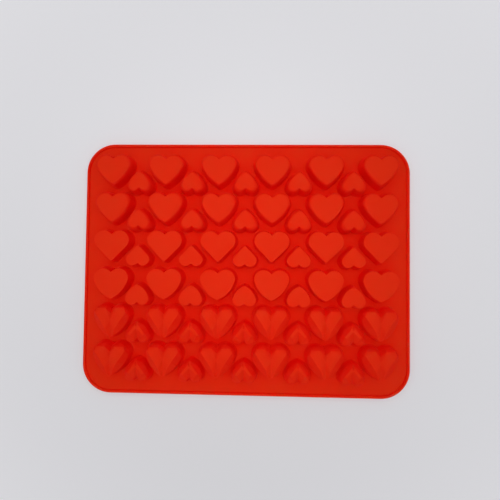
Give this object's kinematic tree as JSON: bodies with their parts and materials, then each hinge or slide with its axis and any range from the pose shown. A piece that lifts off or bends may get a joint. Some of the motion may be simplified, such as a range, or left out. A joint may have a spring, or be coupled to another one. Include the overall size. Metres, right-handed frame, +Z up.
{
  "type": "silicone heart mould",
  "caption": "Flexible baking and sweet mould: a thin rounded sheet with a beaded rim and rows of plain, rounded and faceted heart cavities, shown lying upside down",
  "frame": {"origin": "centre of the footprint, on the plane the rim rests on", "axes": "X along the long side, +Y toward the row of rounded hearts, +Z up through the backs of the hearts; the cavities open toward -Z"},
  "size_m": [0.21, 0.162, 0.0114],
  "materials": {
    "silicone": "satin"
  },
  "bodies": {
    "root": {"heart_mould": "silicone"}
  },
  "joints": []
}
